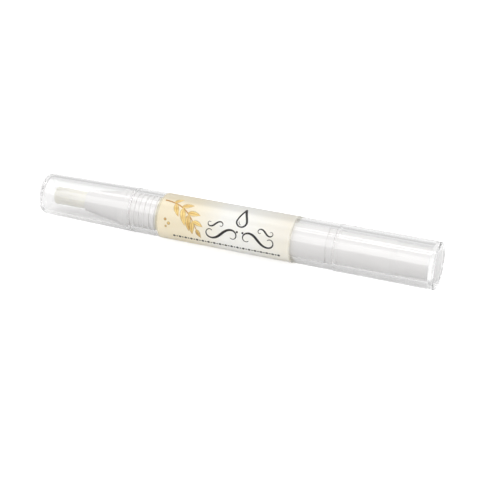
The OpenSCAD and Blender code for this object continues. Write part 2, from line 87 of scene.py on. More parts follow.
def srgb(red, green, blue):
    """The linear colour of a screen colour given in steps of 0 to 255."""
    def linear(step):
        share = step / 255
        return share / 12.92 if share <= 0.04045 else ((share + 0.055) / 1.055) ** 2.4
    return (linear(red), linear(green), linear(blue))


def span(node):
    """First and last station of a fixed node, and its largest radius, in millimetres."""
    low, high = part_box(node)
    return low.x / MM, high.x / MM, high.z / MM


# Sizes, colours and the stage's settings, which a user may change.


class PenSizes(bpy.types.PropertyGroup):
    """Sizes of the details that a user may change without touching the solids."""
    edge_round: FloatProperty(
        name="Edge rounding", description="Rounding of the moulded rims",
        default=0.06 * MM, min=0.02 * MM, max=0.2 * MM, subtype="DISTANCE", unit="LENGTH", precision=5)
    filaments: IntProperty(
        name="Filaments", description="Number of filaments in the brush", default=1500, min=300, max=4000)
    filament_width: FloatProperty(
        name="Filament width", description="Thickness of one filament at its foot",
        default=0.11 * MM, min=0.04 * MM, max=0.2 * MM, subtype="DISTANCE", unit="LENGTH", precision=5)
    print_thickness: FloatProperty(
        name="Ink thickness", description="How far the print stands above the label",
        default=0.008 * MM, min=0.002 * MM, max=0.03 * MM, subtype="DISTANCE", unit="LENGTH", precision=6)
    label_joint: FloatProperty(
        name="Label joint", description="Gap between the label's two ends behind the pen",
        default=0.3 * MM, min=0.05 * MM, max=2 * MM, subtype="DISTANCE", unit="LENGTH", precision=5)


def colour(name, description, value):
    """A colour that a user may change, with its default."""
    return FloatVectorProperty(
        name=name, description=description, default=value, size=3, min=0, max=1, subtype="COLOR")


class PenColours(bpy.types.PropertyGroup):
    """Colours of the plastics, the oil and the print."""
    clear: colour("Clear plastic", "Tint of the cap, the barrel and the knob", (0.992, 0.99, 0.99))
    white: colour("White plastic", "Moulded white inner parts", srgb(238, 237, 236))
    bristle: colour("Filaments", "Filaments of the brush", srgb(255, 254, 248))
    label_front: colour("Label, front", "Ground of the label near the cap", srgb(245, 234, 208))
    label_middle: colour("Label, middle", "Ground of the label halfway", srgb(247, 246, 241))
    label_rear: colour("Label, rear", "Ground of the label near the knob", srgb(244, 239, 227))
    leaf_light: colour("Leaf, light", "Light amber between the veins", srgb(252, 224, 146))
    leaf_dark: colour("Leaf, dark", "Dark amber along the veins", srgb(178, 128, 48))
    ink: colour("Ink", "Dark print", srgb(28, 25, 24))
    oil: colour("Oil", "Tint of the oil", srgb(252, 247, 226))


class StageSettings(bpy.types.PropertyGroup):
    """Camera and light."""
    azimuth: FloatProperty(
        name="Azimuth", description="Turn of the camera round the pen",
        default=math.radians(21.46), subtype="ANGLE")
    elevation: FloatProperty(
        name="Elevation", description="Height of the camera as an angle",
        default=math.radians(28.88), subtype="ANGLE")
    distance: FloatProperty(
        name="Distance", description="From the camera to the point it looks at",
        default=0.43, min=0.1, max=3, subtype="DISTANCE", unit="LENGTH")
    lens: FloatProperty(
        name="Lens", description="Focal length on a 36 mm sensor", default=106.44, min=20, max=300)
    aim: FloatVectorProperty(
        name="Aim", description="Point of the pen's axis that the view is hung on",
        default=(3.1 * MM, 0, 0), subtype="XYZ", unit="LENGTH", precision=5)
    aim_across: FloatProperty(
        name="Aim, across", description="Where that point lies right of the view's middle, in pixels of 480",
        default=3.6)
    aim_up: FloatProperty(
        name="Aim, up", description="Where that point lies above the view's middle, in pixels of 480",
        default=10.4)
    sky: FloatProperty(
        name="Sky", description="Strength of the light from all round", default=0.53, min=0, max=5)
    overhead: FloatProperty(
        name="Overhead lamp", description="Power of the long lamp above the pen in watts",
        default=1.4, min=0)
    front: FloatProperty(
        name="Front lamp", description="Power of the soft lamp on the camera's side in watts",
        default=2.6, min=0)
    back: FloatProperty(
        name="Back lamp", description="Power of the soft lamp behind the pen in watts",
        default=0.9, min=0)


# Outlines, and the pieces that are turned from them.

SIDES = 160        # sides of a turned piece
ROUND_STEPS = 12   # steps in a rounded corner
SUPPORT = 0.06     # how far from the ends of a long run its extra points stand
RUN_STEP = 3       # about how far apart the other extra points stand
JOINT = 0.04       # how much longer each clear wall is drawn where it meets the next


def rounded(corners):
    """Rounds an outline's corners: each is (station, radius) or (station, radius, rounding)."""
    points = []
    for i, corner in enumerate(corners):
        here = Vector(corner[:2])
        rounding = corner[2] if len(corner) > 2 else 0
        if not rounding:
            points.append(tuple(here))
            continue
        back = (Vector(corners[i - 1][:2]) - here).normalized()
        ahead = (Vector(corners[(i + 1) % len(corners)][:2]) - here).normalized()
        half = back.angle(ahead) / 2
        centre = here + (back + ahead).normalized() * rounding / math.sin(half)
        first = here + back * rounding / math.tan(half) - centre
        last = here + ahead * rounding / math.tan(half) - centre
        start = math.atan2(first.y, first.x)
        sweep = (math.atan2(last.y, last.x) - start + math.pi) % TURN - math.pi
        for step in range(ROUND_STEPS + 1):
            angle = start + sweep * step / ROUND_STEPS
            points.append((centre.x + rounding * math.cos(angle), centre.y + rounding * math.sin(angle)))
    return points


def supported(points):
    """Adds points along long runs and near their ends, so that smooth shading stays true there."""
    out = []
    for i, here in enumerate(points):
        a, b = Vector(here), Vector(points[(i + 1) % len(points)])
        out.append(tuple(a))
        length = (b - a).length
        if length < 4 * SUPPORT or (a.y < SUPPORT and b.y < SUPPORT):
            continue
        extra = int(length // RUN_STEP)
        stops = [SUPPORT / length, *(k / (extra + 1) for k in range(1, extra + 1)), 1 - SUPPORT / length]
        out.extend(tuple(a.lerp(b, stop)) for stop in stops)
    return out


def mesh_object(name, vertices, faces, material, sharp=35.0):
    """An object with one smooth mesh, in millimetres, whose outward sides are set."""
    built = bmesh.new()
    corners = [built.verts.new(Vector(v) * MM) for v in vertices]
    for face in faces:
        built.faces.new([corners[i] for i in face])
    bmesh.ops.recalc_face_normals(built, faces=built.faces)
    mesh = bpy.data.meshes.new(name)
    built.to_mesh(mesh)
    built.free()
    mesh.shade_smooth()
    mesh.set_sharp_from_angle(angle=math.radians(sharp))
    mesh.materials.append(material)
    made = bpy.data.objects.new(name, mesh)
    bpy.context.scene.collection.objects.link(made)
    return made


def turned(name, corners, material, sides=SIDES):
    """A piece turned about the pen's axis from a closed outline."""
    outline = supported(rounded(corners))
    vertices, rings = [], []
    for x, r in outline:
        first = len(vertices)
        if r < 1e-6:
            vertices.append((x, 0, 0))
            rings.append([first] * sides)
            continue
        vertices.extend(
            (x, r * math.cos(TURN * k / sides), r * math.sin(TURN * k / sides)) for k in range(sides))
        rings.append(list(range(first, first + sides)))
    faces = []
    for i, ring in enumerate(rings):
        after = rings[(i + 1) % len(rings)]
        for k in range(sides):
            j = (k + 1) % sides
            face = list(dict.fromkeys((ring[k], ring[j], after[j], after[k])))
            if len(face) > 2:
                faces.append(face)
    return mesh_object(name, vertices, faces, material)


def place(piece, body, slot, *nodes):
    """Lets a piece ride on a body and stand for the nodes, which it hides; the slot is not used."""
    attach(piece, body)
    if nodes:
        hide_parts(*nodes)


def sheet_faces(rows, columns):
    """Faces of a thin closed sheet, whose points are a grid of rows on top and the same grid below."""
    under = rows * columns
    faces = []
    for i in range(rows - 1):
        for k in range(columns - 1):
            a = i * columns + k
            faces.append((a, a + 1, a + columns + 1, a + columns))
            faces.append((under + a, under + a + columns, under + a + columns + 1, under + a + 1))
    for k in range(columns - 1):
        for a in (k, (rows - 1) * columns + k):
            faces.append((a, under + a, under + a + 1, a + 1))
    for i in range(rows - 1):
        for a in (i * columns, i * columns + columns - 1):
            faces.append((a, a + columns, under + a + columns, under + a))
    return faces


# Parts of a finish.


def add(tree, kind, options=None, inputs=None):
    """Adds a node, sets its options, and fills its inputs with values or links."""
    made = tree.nodes.new("ShaderNode" + kind)
    for name, value in (options or {}).items():
        setattr(made, name, value)
    for name, value in (inputs or {}).items():
        if isinstance(value, bpy.types.NodeSocket):
            tree.links.new(value, made.inputs[name])
        else:
            made.inputs[name].default_value = value
    return made


def maths(tree, operation, *values, clamp=False):
    """The result of one step of arithmetic."""
    options = {"operation": operation, "use_clamp": clamp}
    return add(tree, "Math", options, dict(enumerate(values))).outputs["Value"]


def ranged(tree, value, source, target, smooth=False):
    """A value carried from its own range to another one, with an easy start and end where smooth."""
    options = {"interpolation_type": "SMOOTHSTEP" if smooth else "LINEAR"}
    return add(tree, "MapRange", options, {
        "Value": value, "From Min": source[0], "From Max": source[1],
        "To Min": target[0], "To Max": target[1]}).outputs["Result"]


def mixed(tree, share, one, other, blend="MIX"):
    """One colour with a share of another mixed in, or multiplied in."""
    options = {"data_type": "RGBA", "blend_type": blend}
    return add(tree, "Mix", options, {0: share, 6: one, 7: other}).outputs[2]


def position(tree, axis, kind="Object"):
    """Where a point of a surface or of the sky lies along an axis."""
    return add(tree, "SeparateXYZ", inputs={0: add(tree, "TexCoord").outputs[kind]}).outputs[axis]


def cloudy(tree, **inputs):
    """A cloudy pattern in the object's own space."""
    place_at = add(tree, "TexCoord").outputs["Object"]
    return add(tree, "TexNoise", inputs={"Vector": place_at, **inputs}).outputs["Fac"]


def ramp(tree, value, stops):
    """A colour that follows a value through stops, each of which is (place, colour)."""
    made = add(tree, "ValToRGB", inputs={0: value})
    elements = made.color_ramp.elements
    while len(elements) < len(stops):
        elements.new(0.5)
    for element, (stop, tint) in zip(elements, stops):
        element.position = stop
        element.color = (*tint, 1)
    return made.outputs["Color"]


def ray_kinds(tree):
    """The kinds of ray, and whether one came off a gloss or through something clear."""
    path = add(tree, "LightPath").outputs
    return path, maths(tree, "MAXIMUM", path["Is Glossy Ray"], path["Is Transmission Ray"])


def group(name, inputs, outputs, fill):
    """A shader node group with named inputs and outputs, made once."""
    if name in bpy.data.node_groups:
        return bpy.data.node_groups[name]
    tree = bpy.data.node_groups.new(name, "ShaderNodeTree")
    for label, kind, value in inputs:
        socket = tree.interface.new_socket(name=label, in_out="INPUT", socket_type="NodeSocket" + kind)
        socket.default_value = value
    for label, kind in outputs:
        tree.interface.new_socket(name=label, in_out="OUTPUT", socket_type="NodeSocket" + kind)
    entry = tree.nodes.new("NodeGroupInput").outputs
    leave = tree.nodes.new("NodeGroupOutput").inputs
    for label, socket in fill(tree, entry).items():
        tree.links.new(socket, leave[label])
    return tree


def moulded_surface():
    """Fine unevenness of a moulded skin: a varying roughness and a height for bump."""
    def fill(tree, entry):
        cloud = cloudy(tree, Scale=entry["Scale"], Detail=4.0, Roughness=0.6)
        grain = cloudy(tree, Scale=entry["Grain"], Detail=2.0)
        rough = ranged(tree, cloud, (0.3, 0.7), (entry["Smoothest"], entry["Roughest"]))
        return {"Roughness": rough, "Height": maths(tree, "ADD", cloud, grain)}
    return group("moulded surface", [
        ("Scale", "Float", 120.0), ("Grain", "Float", 2500.0),
        ("Smoothest", "Float", 0.3), ("Roughest", "Float", 0.4),
    ], [("Roughness", "Float"), ("Height", "Float")], fill)


def tone_drift():
    """A colour that drifts a little over the surface, as moulded plastic and dye do."""
    def fill(tree, entry):
        cloud = cloudy(tree, Scale=entry["Scale"], Detail=3.0)
        return {"Colour": mixed(tree, entry["Drift"], entry["Colour"], cloud, "MULTIPLY")}
    return group("tone drift", [
        ("Colour", "Color", (0.8, 0.8, 0.8, 1)), ("Scale", "Float", 90.0), ("Drift", "Float", 0.04),
    ], [("Colour", "Color")], fill)


def start_material(name):
    """A new node material, with its tree and its surface shader."""
    material = bpy.data.materials.new(name)
    material.use_nodes = True
    tree = material.node_tree
    return material, tree, tree.nodes["Principled BSDF"]


def set_sockets(shader, values):
    """Sets plain values on the shader's own sockets."""
    for name, value in values.items():
        shader.inputs[name].default_value = value


def give_skin(tree, shader, scale, grain, smoothest, roughest, bump=None, depth=0.01):
    """Gives a shader a moulded skin, whose bump is at most a depth in millimetres high."""
    skin = add(tree, "Group", {"node_tree": moulded_surface()}, {
        "Scale": scale, "Grain": grain, "Smoothest": smoothest, "Roughest": roughest}).outputs
    tree.links.new(skin["Roughness"], shader.inputs["Roughness"])
    if bump:
        raised = add(tree, "Bump", inputs={
            "Strength": bump, "Distance": depth * MM, "Height": skin["Height"]})
        tree.links.new(raised.outputs["Normal"], shader.inputs["Normal"])


def give_tone(tree, shader, tint, scale, drift):
    """Gives a shader a colour that drifts a little, and returns that colour."""
    tone = add(tree, "Group", {"node_tree": tone_drift()}, {
        "Colour": tint, "Scale": scale, "Drift": drift}).outputs["Colour"]
    tree.links.new(tone, shader.inputs["Base Color"])
    return tone


def let_through(tree, shader, tint, kinds=("Is Shadow Ray", "Is Diffuse Ray")):
    """Lets these kinds of ray pass straight on, tinted, to what lies behind."""
    passing = add(tree, "BsdfTransparent", inputs={"Color": (*tint, 1)}).outputs["BSDF"]
    path = add(tree, "LightPath").outputs
    surface = shader.outputs["BSDF"]
    for kind in kinds:
        surface = add(tree, "MixShader", inputs={0: path[kind], 1: surface, 2: passing}).outputs[0]
    tree.links.new(surface, tree.nodes["Material Output"].inputs["Surface"])


# The finishes.

WALL_PASSES = 0.94   # share of the light that a clear surface lets through


def solid_plastic(name, tint, smoothest, roughest, drift=0.05, scale=120.0, **values):
    """Opaque moulded plastic, and what is as plain: rubber, wire and ink."""
    material, tree, shader = start_material(name)
    give_tone(tree, shader, (*tint, 1), scale, drift)
    give_skin(tree, shader, scale, 20 * scale, smoothest, roughest, bump=0.15)
    set_sockets(shader, values)
    return material


def clear_plastic(name, tint, ior):
    """Clear moulded plastic, which lets the light of the lamps and the room through."""
    material, tree, shader = start_material(name)
    give_skin(tree, shader, 60.0, 400.0, 0.0, 0.02, bump=0.04)
    set_sockets(shader, {"Base Color": (*tint, 1), "IOR": ior, "Transmission Weight": 1.0})
    let_through(tree, shader, tuple(WALL_PASSES * c for c in tint))
    return material


materials = {}


def make_materials(colours):
    """All finishes of the pen, by name."""
    materials["clear"] = clear_plastic("clear plastic", colours.clear, ior=1.4)
    materials["clear_thick"] = clear_plastic("clear plastic, thick", colours.clear, ior=1.47)
    materials["oil"] = oil_material(tuple(colours.oil))
    materials["white"] = solid_plastic("white plastic", tuple(colours.white), 0.52, 0.62)
    materials["screw"] = solid_plastic("screw plastic", srgb(240, 240, 238), 0.35, 0.45)
    materials["tube"] = solid_plastic("thin tube", srgb(244, 244, 242), 0.2, 0.3)
    materials["ring"] = solid_plastic("soft ring", srgb(214, 214, 212), 0.55, 0.7, drift=0.12)
    materials["spring"] = solid_plastic(
        "spring wire", srgb(200, 202, 205), 0.22, 0.38, drift=0.1, scale=700.0, Metallic=1.0)
    materials["bristle"] = bristle_material(tuple(colours.bristle))
    materials["label"] = label_material(colours)
    materials["leaf"] = leaf_material(colours)
    materials["ink"] = solid_plastic("dark ink", tuple(colours.ink), 0.35, 0.5, drift=0.2, scale=600.0)


def oil_material(tint):
    """Pale oil with a slight haze, which wets the wall and so shows no surface of its own."""
    material, tree, shader = start_material("oil")
    give_tone(tree, shader, (*tint, 1), 220.0, 0.03)
    give_skin(tree, shader, 90.0, 400.0, 0.1, 0.2)
    set_sockets(shader, {"Alpha": 0.55, "Specular IOR Level": 0.1})
    return material


def bristle_material(tint):
    """Fine nylon filaments: a tone for each filament, and a sheen along it."""
    material, tree, shader = start_material("filaments")
    shade = add(tree, "Attribute", {"attribute_name": "filament_tone"}).outputs["Fac"]
    darker = tuple(0.96 * c for c in tint)
    tree.links.new(mixed(tree, shade, (*darker, 1), (*tint, 1)), shader.inputs["Base Color"])
    give_skin(tree, shader, 900.0, 4000.0, 0.35, 0.55)
    set_sockets(shader, {"Subsurface Weight": 0.1, "Subsurface Radius": (1.2 * MM, 1.1 * MM, 0.9 * MM)})
    return material


def label_material(colours):
    """Printed film: a ground that goes from cream over near-white to beige along the pen."""
    material, tree, shader = start_material("label film")
    first, last, _ = span("label")
    x = position(tree, "X")
    along = ranged(tree, x, (first * MM, last * MM), (0.0, 1.0))
    cloud = add(tree, "TexNoise", inputs={"Scale": 160.0, "Detail": 3.0}).outputs["Fac"]
    shift = ranged(tree, cloud, (0.3, 0.7), (-0.04, 0.04))
    ground = ramp(tree, maths(tree, "ADD", along, shift), [
        (0.0, colours.label_front), (0.24, colours.label_front), (0.5, colours.label_middle),
        (0.68, colours.label_middle), (1.0, colours.label_rear)])
    facing = add(tree, "VectorMath", {"operation": "NORMALIZE"}, {
        0: add(tree, "TexCoord").outputs["Normal"]}).outputs["Vector"]
    crown = math.radians(75)
    upward = add(tree, "VectorMath", {"operation": "DOT_PRODUCT"}, {
        0: facing, 1: (0, math.cos(crown), math.sin(crown))}).outputs["Value"]
    # Painted shade: the ground is a little darker towards the crown, and darkest in a band along it.
    painted_crown_shade = ranged(tree, upward, (-0.2, 0.6), (0.95, 0.88), smooth=True)
    painted_shade_strip = ranged(tree, upward, (0.8, 0.92), (0.0, 1.0), smooth=True)
    even = mixed(tree, 1.0, ground, painted_crown_shade, "MULTIPLY")
    shaded = mixed(tree, painted_shade_strip, even, (0.85, 0.85, 0.85, 1), "MULTIPLY")
    tone = give_tone(tree, shader, shaded, 1500.0, 0.04)
    # Painted light: its underside glows weakly with a light of its own, standing in for light that comes
    # through the oil.
    painted_underside_glow = ranged(tree, upward, (-0.35, 0.1), (0.1, 0.0), smooth=True)
    tree.links.new(tone, shader.inputs["Emission Color"])
    tree.links.new(painted_underside_glow, shader.inputs["Emission Strength"])
    give_skin(tree, shader, 200.0, 3000.0, 0.28, 0.36, bump=0.1, depth=0.004)
    # It thins out over a short way at both ends.
    middle, half, fade = (first + last) / 2 * MM, (last - first) / 2 * MM, 0.6 * MM
    reach = maths(tree, "ABSOLUTE", maths(tree, "SUBTRACT", x, middle))
    cover = ranged(tree, reach, (half - fade, half), (1.0, 0.4), smooth=True)
    tree.links.new(cover, shader.inputs["Alpha"])
    set_sockets(shader, {"Subsurface Weight": 0.7, "Subsurface Radius": (0.5 * MM, 0.48 * MM, 0.42 * MM)})
    let_through(tree, shader, (0.85, 0.84, 0.8), ("Is Shadow Ray", "Is Diffuse Ray", "Is Transmission Ray"))
    return material


def leaf_material(colours):
    """Amber print of pressed leaves: light between the veins, darker along them and at the stains."""
    rib_half, slant, veins_along = 0.16, 0.22, 9
    material, tree, shader = start_material("leaf print")
    spot = add(tree, "Attribute", {"attribute_name": "leaf_place"}).outputs["Vector"]
    along, across, depth = add(tree, "SeparateXYZ", inputs={0: spot}).outputs
    off_rib = maths(tree, "ABSOLUTE", across)
    rib = ranged(tree, off_rib, (0.0, rib_half), (1.0, 0.0))
    slanted = maths(tree, "MULTIPLY_ADD", off_rib, -slant, along)
    ripple = maths(tree, "SINE", maths(tree, "MULTIPLY", slanted, veins_along * TURN))
    veins = ranged(tree, ripple, (0.55, 1.0), (0.0, 0.3))
    stain = ranged(tree, cloudy(tree, Scale=700.0, Detail=4.0), (0.4, 0.65), (0.0, 0.6))
    lines = maths(tree, "MAXIMUM", rib, veins)
    deep = maths(tree, "ADD", maths(tree, "MAXIMUM", lines, stain), depth, clamp=True)
    tone = mixed(tree, deep, (*colours.leaf_light, 1), (*colours.leaf_dark, 1))
    tree.links.new(tone, shader.inputs["Base Color"])
    give_skin(tree, shader, 300.0, 3000.0, 0.3, 0.45)
    fading = ranged(tree, off_rib, (0.3, 1.0), (0.95, 0.0), smooth=True)
    tree.links.new(fading, shader.inputs["Alpha"])
    return material


def finish_nodes(finishes):
    """Gives carried-over nodes their finish, in their own material slots."""
    for name, finish in finishes.items():
        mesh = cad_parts[name].data
        mesh.materials.clear()
        mesh.materials.append(materials[finish])


# One operator for each piece or group of like pieces, and one for the stage.


class OILPEN_OT_finishes(bpy.types.Operator):
    """Make the materials"""
    bl_idname = "oilpen.finishes"
    bl_label = "Finishes"

    def execute(self, context):
        make_materials(context.scene.pen_colours)
        return {"FINISHED"}


class OILPEN_OT_cap(bpy.types.Operator):
    """Make the clear pull-off cap"""
    bl_idname = "oilpen.cap"
    bl_label = "Cap"

    def execute(self, context):
        first, last, mouth_r = span("cap_shell")
        soft = context.scene.pen_sizes.edge_round / MM
        nose_r, nose_round, wall = 6.4, 1.2, 1.2
        bore_r, bore_end, inner_nose_r, inner_round = 5.75, -37.625, 5.3, 0.8
        cap = turned("clear_cap", [
            (first, 0), (first, nose_r, nose_round), (last + JOINT, mouth_r, soft),
            (last + JOINT, bore_r, soft), (bore_end, bore_r), (first + wall, inner_nose_r, inner_round),
            (first + wall, 0),
        ], materials["clear"])
        place(cap, "cap", "clear_plastic", "cap_shell")
        return {"FINISHED"}


class OILPEN_OT_barrel(bpy.types.Operator):
    """Make the clear barrel"""
    bl_idname = "oilpen.barrel"
    bl_label = "Barrel"

    def execute(self, context):
        first, last, rear_r = span("barrel")
        soft = context.scene.pen_sizes.edge_round / MM
        bore_r, front_r = 5.3, 6.9
        barrel = turned("clear_barrel", [
            (first - JOINT, bore_r, soft), (first - JOINT, front_r, soft), (last + JOINT, rear_r, soft),
            (last + JOINT, bore_r, soft),
        ], materials["clear"])
        place(barrel, "barrel", "clear_plastic", "barrel")
        return {"FINISHED"}


class OILPEN_OT_knob(bpy.types.Operator):
    """Make the clear thick-walled knob"""
    bl_idname = "oilpen.knob"
    bl_label = "Knob"

    def execute(self, context):
        first, last, outer = span("knob_shell")
        soft = context.scene.pen_sizes.edge_round / MM
        bore_r, end_wall, end_round = 5.2, 1.97, 0.8
        knob = turned("clear_knob", [
            (first - JOINT, bore_r, soft), (first - JOINT, outer, soft), (last, outer, end_round), (last, 0),
            (last - end_wall, 0), (last - end_wall, bore_r, soft),
        ], materials["clear_thick"])
        place(knob, "knob", "clear_plastic", "knob_shell")
        return {"FINISHED"}


class OILPEN_OT_nozzle(bpy.types.Operator):
    """Make the white cone and the ribbed seat in the barrel's front"""
    bl_idname = "oilpen.nozzle"
    bl_label = "Nozzle"

    def execute(self, context):
        tip, skirt_end, _ = span("nozzle_cone")
        hole_r, tip_r, foot_r, foot_x = 2.9, 3.3, 5.04, -36.625
        skirt_r, skirt_bore_r, ledge_x = 4.2, 3.32, -45.325
        cone = turned("white_cone", [
            (tip, hole_r, 0.08), (tip, tip_r, 0.15), (foot_x, foot_r, 0.1), (foot_x, skirt_r),
            (skirt_end, skirt_r), (skirt_end, skirt_bore_r), (ledge_x, skirt_bore_r), (ledge_x, hole_r),
        ], materials["white"])
        place(cone, "barrel", "white_plastic", "nozzle_cone")
        front, rear, _ = span("nozzle_seat")
        collar_r, core_r, rib_r, socket_r, socket_end = 5.6, 4.9, 5.28, 4.22, -32.925
        grip_r, grip_width = collar_r + 0.1, 0.8
        outline = [(front, socket_r), (front, collar_r, 0.1)]
        # Two rings that hold the cap.
        for start in (-35.7583, -34.0917):
            outline += [(start, collar_r), (start, grip_r, 0.04), (start + grip_width, grip_r, 0.04),
                        (start + grip_width, collar_r)]
        collar_end, plug_end = -32.425, -31.025
        outline += [(collar_end, collar_r, 0.05), (collar_end, rib_r), (plug_end, rib_r, 0.08),
                    (plug_end, core_r)]
        # Four ribs that seal the barrel.
        first_rib, rib_pitch, rib_width = -30.225, 1.75, 0.7
        for k in range(4):
            start = first_rib + rib_pitch * k
            outline += [(start, core_r, 0.16), (start, rib_r, 0.2), (start + rib_width, rib_r, 0.2),
                        (start + rib_width, core_r, 0.16)]
        funnel_r, funnel_depth, channel_r = 4.2, 1.4, 1.5
        outline += [(rear, core_r, 0.1), (rear, funnel_r), (rear - funnel_depth, channel_r),
                    (socket_end, channel_r), (socket_end, socket_r)]
        seat = turned("white_seat", outline, materials["white"])
        place(seat, "barrel", "white_plastic", "nozzle_seat")
        return {"FINISHED"}


class OILPEN_OT_brush(bpy.types.Operator):
    """Make the brush: its filaments, ferrule and feed tube"""
    bl_idname = "oilpen.brush"
    bl_label = "Brush"

    def execute(self, context):
        sizes = context.scene.pen_sizes
        tip, back, tip_r = span("brush_bristles")
        disc_width, foot_r, hole_r = 0.5, 2.7, 0.66
        foot_x = back - disc_width
        thick = sizes.filament_width / MM / 2
        count, sides = sizes.filaments, 5
        # Stops along a filament, from foot to tip, and its thickness at each.
        stops = (0.0, 0.3, 0.6, 0.85, 0.96, 1.0)
        thins = (1.0, 1.0, 0.96, 0.85, 0.6, 0.2)
        # How far the rim's tips stand back, how uneven the tips, the feet and the rim are, and how far
        # a filament winds round the pen.
        dome, ragged, scatter, loose, wind = 0.2, 0.25, 0.02, 0.04, 0.05
        dice = random.Random(7)
        golden = math.pi * (3 - math.sqrt(5))
        vertices, faces, tones = [], [], []
        for k in range(count):
            # The feet stand evenly between the feed tube and the rim, turned by the golden angle.
            share = (k + 0.5) / count
            r0 = math.sqrt(hole_r ** 2 + (foot_r - thick - hole_r) * (foot_r - thick + hole_r) * share)
            angle = golden * k + dice.uniform(-scatter, scatter)
            rim = r0 / foot_r
            r1 = r0 * (tip_r - 1.2 * thick) / foot_r + dice.uniform(-loose, 0.0)
            end = tip + dome * rim * rim + dice.uniform(0, ragged)
            bend = dice.uniform(-wind, wind)
            tone = dice.random()
            first = len(vertices)
            for stop, thin in zip(stops, thins):
                x = foot_x + (end - foot_x) * stop
                r = r0 + (r1 - r0) * stop ** 1.6
                a = angle + bend * stop * stop
                cy, cz = r * math.cos(a), r * math.sin(a)
                for j in range(sides):
                    b = TURN * j / sides + angle
                    vertices.append((x, cy + thick * thin * math.cos(b), cz + thick * thin * math.sin(b)))
                    tones.append(tone)
            for i in range(len(stops) - 1):
                for j in range(sides):
                    a, b = first + i * sides, first + (i + 1) * sides
                    g = (j + 1) % sides
                    faces.append((a + j, a + g, b + g, b + j))
            last = first + (len(stops) - 1) * sides
            faces.append(tuple(range(first, first + sides))[::-1])
            faces.append(tuple(range(last, last + sides)))
        tuft = mesh_object("brush_tuft", vertices, faces, materials["bristle"], sharp=60.0)
        store_tones(tuft, tones)
        place(tuft, "barrel", "bristle", "brush_bristles")
        disc_bore_r = hole_r - 0.03
        disc = turned("brush_backing", [
            (foot_x, disc_bore_r), (foot_x, foot_r, 0.05), (back, foot_r, 0.05), (back, disc_bore_r),
        ], materials["bristle"], sides=64)
        store_tones(disc, [0.5] * len(disc.data.vertices))
        place(disc, "barrel", "bristle")
        finish_nodes({"brush_collar": "white", "feed_tube": "tube"})
        return {"FINISHED"}


def store_tones(piece, tones):
    """Keeps a tone for each point, which the filaments' finish reads."""
    kept = piece.data.attributes.new("filament_tone", "FLOAT", "POINT")
    kept.data.foreach_set("value", tones)


class OILPEN_OT_label(bpy.types.Operator):
    """Make the printed label and its print"""
    bl_idname = "oilpen.label"
    bl_label = "Label"

    def execute(self, context):
        sizes = context.scene.pen_sizes
        first, last, rear_r = span("label")
        wrap = Wrap(last, rear_r)
        joint = sizes.label_joint / MM / rear_r
        steps, columns, thickness = 72, 192, 0.08
        vertices = []
        for lift in (0.0, -thickness):
            for i in range(steps + 1):
                x = first + (last - first) * i / steps
                for k in range(columns + 1):
                    angle = LABEL_BACK + joint / 2 + (TURN - joint) * k / columns
                    vertices.append(wrap.at(x, angle, lift))
        film = mesh_object(
            "label_wrap", vertices, sheet_faces(steps + 1, columns + 1), materials["label"])
        place(film, "barrel", "label_film", "label")
        draw_print(wrap, sizes.print_thickness / MM)
        return {"FINISHED"}


LABEL_FACE = math.radians(150)         # where the print's middle line lies round the pen
LABEL_BACK = LABEL_FACE + math.pi      # where the label's two ends meet
TAPER = 0.3 / 65.7 / 2                 # how much the barrel's radius grows for each millimetre


class Wrap:
    """The label's outer surface, on which print is laid by station and height round the pen."""

    def __init__(self, last, rear_r):
        self.last, self.rear_r = last, rear_r

    def at(self, x, angle, lift):
        """A point at an angle round the pen, lifted off the surface."""
        r = self.rear_r - TAPER * (self.last - x) + lift
        return (x, r * math.cos(angle), r * math.sin(angle))

    def on(self, x, height, lift):
        """A point of the print: its height is measured upwards round the surface from the middle line."""
        return self.at(x, LABEL_FACE - height / self.rear_r, lift)


def lay(wrap, name, rows, lift, finish, places=None):
    """Lays rows of (station, height) points on the label as one thin printed patch."""
    foot = -0.01
    flat = [point for row in rows for point in row]
    vertices = [wrap.on(x, s, level) for level in (lift, foot) for x, s in flat]
    patch = mesh_object(name, vertices, sheet_faces(len(rows), len(rows[0])), materials[finish])
    if places:
        kept = patch.data.attributes.new("leaf_place", "FLOAT_VECTOR", "POINT")
        kept.data.foreach_set("vector", [c for p in places + places for c in p])
    place(patch, "barrel", "label_film")


def ribbon(points, widths):
    """Rows of points across a stroke that follows points, with a width at each."""
    rows = []
    for i, (here, width) in enumerate(zip(points, widths)):
        ahead = points[min(i + 1, len(points) - 1)]
        back = points[max(i - 1, 0)]
        along = (Vector(ahead) - Vector(back)).normalized()
        across = Vector((-along.y, along.x)) * width / 2
        middle = Vector(here)
        rows.append([tuple(middle - across), tuple(middle), tuple(middle + across)])
    return rows


def bent(start, middle, end, steps):
    """Points of a smooth curve from start to end that is drawn towards the middle."""
    a, b, c = Vector(start), Vector(middle), Vector(end)
    return [tuple(a.lerp(b, t).lerp(b.lerp(c, t), t)) for t in (i / steps for i in range(steps + 1))]


def draw_leaf(wrap, name, foot, tip, width, curl, lift, depth):
    """One pressed leaf from foot to tip: it swells quickly, then tapers to a point."""
    a, b = Vector(foot), Vector(tip)
    side = Vector((-(b - a).y, (b - a).x)).normalized()
    middle = a.lerp(b, 0.5) + side * curl
    steps, half = 18, 4
    spine = bent(foot, middle, tip, steps)
    rows, places = [], []
    for i, here in enumerate(spine):
        t = i / steps
        swell = max(0.02, math.sin(math.pi * t ** 0.8) ** 0.85 * (1 - 0.25 * t))
        ahead = Vector(spine[min(i + 1, steps)]) - Vector(spine[max(i - 1, 0)])
        across = Vector((-ahead.y, ahead.x)).normalized() * width / 2 * swell
        row = []
        for k in range(-half, half + 1):
            row.append(tuple(Vector(here) + across * k / half))
            places.append((t, k / half, depth))
        rows.append(row)
    lay(wrap, name, rows, lift, "leaf", places)


